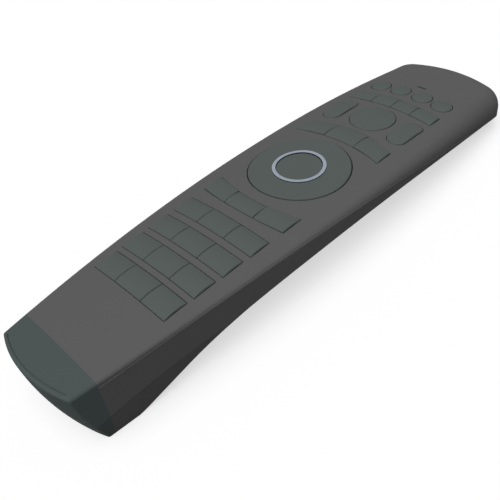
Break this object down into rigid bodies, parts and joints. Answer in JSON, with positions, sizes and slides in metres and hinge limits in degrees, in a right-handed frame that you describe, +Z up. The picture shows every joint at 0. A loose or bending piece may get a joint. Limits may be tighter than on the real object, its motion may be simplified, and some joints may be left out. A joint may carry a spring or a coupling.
{
  "type": "handheld remote control",
  "caption": "Long handheld remote with an arched crowned key face, round direction pad with metal ring, raked end cap and a deeper battery hump underneath.",
  "frame": {"origin": "centre of the bounding box on the plane that the remote rests on", "axes": "+Z up out of the key face, +Y from the raked end cap to the infrared end, +X to the right seen with the infrared end up"},
  "size_m": [0.0536, 0.203, 0.0265],
  "materials": {
    "casing_grey": "fine moulded texture, mid grey",
    "casing_dark": "fine moulded texture, dark grey",
    "cap_plastic": "fine moulded texture, green grey",
    "key_plastic": "satin moulded, green grey",
    "bright_ring": "bright plated",
    "inner_plastic": "plain moulded, black",
    "mat_rubber": "plain silicone rubber",
    "board_laminate": "lacquered laminate",
    "chip_black": "moulded package",
    "emitter_resin": "tinted clear resin",
    "cell_sleeve": "plain printed sleeve, no marking",
    "contact_steel": "nickel plated spring steel",
    "screw_steel": "blackened steel",
    "window_dark": "polished, infrared passing dark plastic",
    "lens_clear": "polished dark lens"
  },
  "bodies": {
    "casing": {"upper_shell": "casing_grey", "lower_shell": "casing_dark", "keypad_mat": "mat_rubber", "circuit_board": "board_laminate", "controller_chip": "chip_black", "ir_emitters": "emitter_resin", "battery_left": "cell_sleeve", "battery_right": "cell_sleeve", "spring_contacts": "contact_steel", "ir_window": "window_dark", "indicator_lens": "lens_clear", "housing_screws": "screw_steel"},
    "cap": {"end_cap": "cap_plastic", "contact_bridge": "contact_steel"},
    "rocker": {"rocker_plate": "inner_plastic"},
    "pad": {"nav_ring": "key_plastic", "accent_ring": "bright_ring"},
    "select": {"select_button": "key_plastic"},
    "key_row4_left": {"key_row4_left": "key_plastic"},
    "key_row4_middle": {"key_row4_middle": "key_plastic"},
    "key_row4_right": {"key_row4_right": "key_plastic"},
    "key_row3_left": {"key_row3_left": "key_plastic"},
    "key_row3_middle": {"key_row3_middle": "key_plastic"},
    "key_row3_right": {"key_row3_right": "key_plastic"},
    "key_row2_left": {"key_row2_left": "key_plastic"},
    "key_row2_middle": {"key_row2_middle": "key_plastic"},
    "key_row2_right": {"key_row2_right": "key_plastic"},
    "key_row1_left": {"key_row1_left": "key_plastic"},
    "key_row1_middle": {"key_row1_middle": "key_plastic"},
    "key_row1_right": {"key_row1_right": "key_plastic"},
    "lower_arc_key_left": {"lower_arc_key_left": "key_plastic"},
    "lower_arc_key_middle": {"lower_arc_key_middle": "key_plastic"},
    "lower_arc_key_right": {"lower_arc_key_right": "key_plastic"},
    "upper_arc_key_left": {"upper_arc_key_left": "key_plastic"},
    "upper_arc_key_middle": {"upper_arc_key_middle": "key_plastic"},
    "upper_arc_key_right": {"upper_arc_key_right": "key_plastic"},
    "far_row_key_1": {"far_row_key_1": "key_plastic"},
    "far_row_key_2": {"far_row_key_2": "key_plastic"},
    "far_row_key_3": {"far_row_key_3": "key_plastic"},
    "far_row_key_4": {"far_row_key_4": "key_plastic"},
    "side_key_left": {"side_key_left": "key_plastic"},
    "side_key_right": {"side_key_right": "key_plastic"},
    "round_key": {"round_key": "key_plastic"},
    "dot_key_1": {"dot_key_1": "key_plastic"},
    "dot_key_2": {"dot_key_2": "key_plastic"},
    "dot_key_3": {"dot_key_3": "key_plastic"},
    "dot_key_4": {"dot_key_4": "key_plastic"}
  },
  "joints": [
    {"name": "pad_rock_up_down", "type": "hinge", "parent": "casing", "child": "rocker", "pos_m": [0, 0.00684, 0.01846], "axis": [1, 0, 0], "range_deg": [-1.5, 1.5], "stiffness_Nm_per_rad": 1},
    {"name": "pad_rock_left_right", "type": "hinge", "parent": "rocker", "child": "pad", "pos_m": [0, 0.00689, 0.0195], "axis": [0, 0.9989, -0.0471], "range_deg": [-1.5, 1.5], "stiffness_Nm_per_rad": 1},
    {"name": "select_press", "type": "slide", "parent": "pad", "child": "select", "axis": [0, -0.0471, -0.9989], "range_m": [0, 0.0005], "stiffness_N_per_m": 1000},
    {"name": "cap_slide", "type": "slide", "parent": "casing", "child": "cap", "axis": [0, -0.9989, 0.0471], "range_m": [0, 0.012]},
    {"name": "key_row4_left_press", "type": "slide", "parent": "casing", "child": "key_row4_left", "axis": [0, 0.0057, -1], "range_m": [0, 0.0005], "stiffness_N_per_m": 1000},
    {"name": "key_row4_middle_press", "type": "slide", "parent": "casing", "child": "key_row4_middle", "axis": [0, 0.0057, -1], "range_m": [0, 0.0005], "stiffness_N_per_m": 1000},
    {"name": "key_row4_right_press", "type": "slide", "parent": "casing", "child": "key_row4_right", "axis": [0, 0.0057, -1], "range_m": [0, 0.0005], "stiffness_N_per_m": 1000},
    {"name": "key_row3_left_press", "type": "slide", "parent": "casing", "child": "key_row3_left", "axis": [0, -0.0025, -1], "range_m": [0, 0.0005], "stiffness_N_per_m": 1000},
    {"name": "key_row3_middle_press", "type": "slide", "parent": "casing", "child": "key_row3_middle", "axis": [0, -0.0025, -1], "range_m": [0, 0.0005], "stiffness_N_per_m": 1000},
    {"name": "key_row3_right_press", "type": "slide", "parent": "casing", "child": "key_row3_right", "axis": [0, -0.0025, -1], "range_m": [0, 0.0005], "stiffness_N_per_m": 1000},
    {"name": "key_row2_left_press", "type": "slide", "parent": "casing", "child": "key_row2_left", "axis": [0, -0.0107, -0.9999], "range_m": [0, 0.0005], "stiffness_N_per_m": 1000},
    {"name": "key_row2_middle_press", "type": "slide", "parent": "casing", "child": "key_row2_middle", "axis": [0, -0.0107, -0.9999], "range_m": [0, 0.0005], "stiffness_N_per_m": 1000},
    {"name": "key_row2_right_press", "type": "slide", "parent": "casing", "child": "key_row2_right", "axis": [0, -0.0107, -0.9999], "range_m": [0, 0.0005], "stiffness_N_per_m": 1000},
    {"name": "key_row1_left_press", "type": "slide", "parent": "casing", "child": "key_row1_left", "axis": [0, -0.0188, -0.9998], "range_m": [0, 0.0005], "stiffness_N_per_m": 1000},
    {"name": "key_row1_middle_press", "type": "slide", "parent": "casing", "child": "key_row1_middle", "axis": [0, -0.0188, -0.9998], "range_m": [0, 0.0005], "stiffness_N_per_m": 1000},
    {"name": "key_row1_right_press", "type": "slide", "parent": "casing", "child": "key_row1_right", "axis": [0, -0.0188, -0.9998], "range_m": [0, 0.0005], "stiffness_N_per_m": 1000},
    {"name": "lower_arc_key_left_press", "type": "slide", "parent": "casing", "child": "lower_arc_key_left", "axis": [0, -0.0294, -0.9996], "range_m": [0, 0.0005], "stiffness_N_per_m": 1000},
    {"name": "lower_arc_key_middle_press", "type": "slide", "parent": "casing", "child": "lower_arc_key_middle", "axis": [0, -0.0294, -0.9996], "range_m": [0, 0.0005], "stiffness_N_per_m": 1000},
    {"name": "lower_arc_key_right_press", "type": "slide", "parent": "casing", "child": "lower_arc_key_right", "axis": [0, -0.0294, -0.9996], "range_m": [0, 0.0005], "stiffness_N_per_m": 1000},
    {"name": "upper_arc_key_left_press", "type": "slide", "parent": "casing", "child": "upper_arc_key_left", "axis": [0, -0.064, -0.998], "range_m": [0, 0.0005], "stiffness_N_per_m": 1000},
    {"name": "upper_arc_key_middle_press", "type": "slide", "parent": "casing", "child": "upper_arc_key_middle", "axis": [0, -0.064, -0.998], "range_m": [0, 0.0005], "stiffness_N_per_m": 1000},
    {"name": "upper_arc_key_right_press", "type": "slide", "parent": "casing", "child": "upper_arc_key_right", "axis": [0, -0.064, -0.998], "range_m": [0, 0.0005], "stiffness_N_per_m": 1000},
    {"name": "far_row_key_1_press", "type": "slide", "parent": "casing", "child": "far_row_key_1", "axis": [0, -0.0868, -0.9962], "range_m": [0, 0.0005], "stiffness_N_per_m": 1000},
    {"name": "far_row_key_2_press", "type": "slide", "parent": "casing", "child": "far_row_key_2", "axis": [0, -0.0868, -0.9962], "range_m": [0, 0.0005], "stiffness_N_per_m": 1000},
    {"name": "far_row_key_3_press", "type": "slide", "parent": "casing", "child": "far_row_key_3", "axis": [0, -0.0868, -0.9962], "range_m": [0, 0.0005], "stiffness_N_per_m": 1000},
    {"name": "far_row_key_4_press", "type": "slide", "parent": "casing", "child": "far_row_key_4", "axis": [0, -0.0868, -0.9962], "range_m": [0, 0.0005], "stiffness_N_per_m": 1000},
    {"name": "side_key_left_press", "type": "slide", "parent": "casing", "child": "side_key_left", "axis": [0, -0.0766, -0.9971], "range_m": [0, 0.0005], "stiffness_N_per_m": 1000},
    {"name": "side_key_right_press", "type": "slide", "parent": "casing", "child": "side_key_right", "axis": [0, -0.0766, -0.9971], "range_m": [0, 0.0005], "stiffness_N_per_m": 1000},
    {"name": "round_key_press", "type": "slide", "parent": "casing", "child": "round_key", "axis": [0, -0.0773, -0.997], "range_m": [0, 0.0005], "stiffness_N_per_m": 1000},
    {"name": "dot_key_1_press", "type": "slide", "parent": "casing", "child": "dot_key_1", "axis": [0.0863, -0.0947, -0.9918], "range_m": [0, 0.0005], "stiffness_N_per_m": 1000},
    {"name": "dot_key_2_press", "type": "slide", "parent": "casing", "child": "dot_key_2", "axis": [0.0303, -0.0954, -0.995], "range_m": [0, 0.0005], "stiffness_N_per_m": 1000},
    {"name": "dot_key_3_press", "type": "slide", "parent": "casing", "child": "dot_key_3", "axis": [-0.0303, -0.0954, -0.995], "range_m": [0, 0.0005], "stiffness_N_per_m": 1000},
    {"name": "dot_key_4_press", "type": "slide", "parent": "casing", "child": "dot_key_4", "axis": [-0.0863, -0.0947, -0.9918], "range_m": [0, 0.0005], "stiffness_N_per_m": 1000}
  ]
}
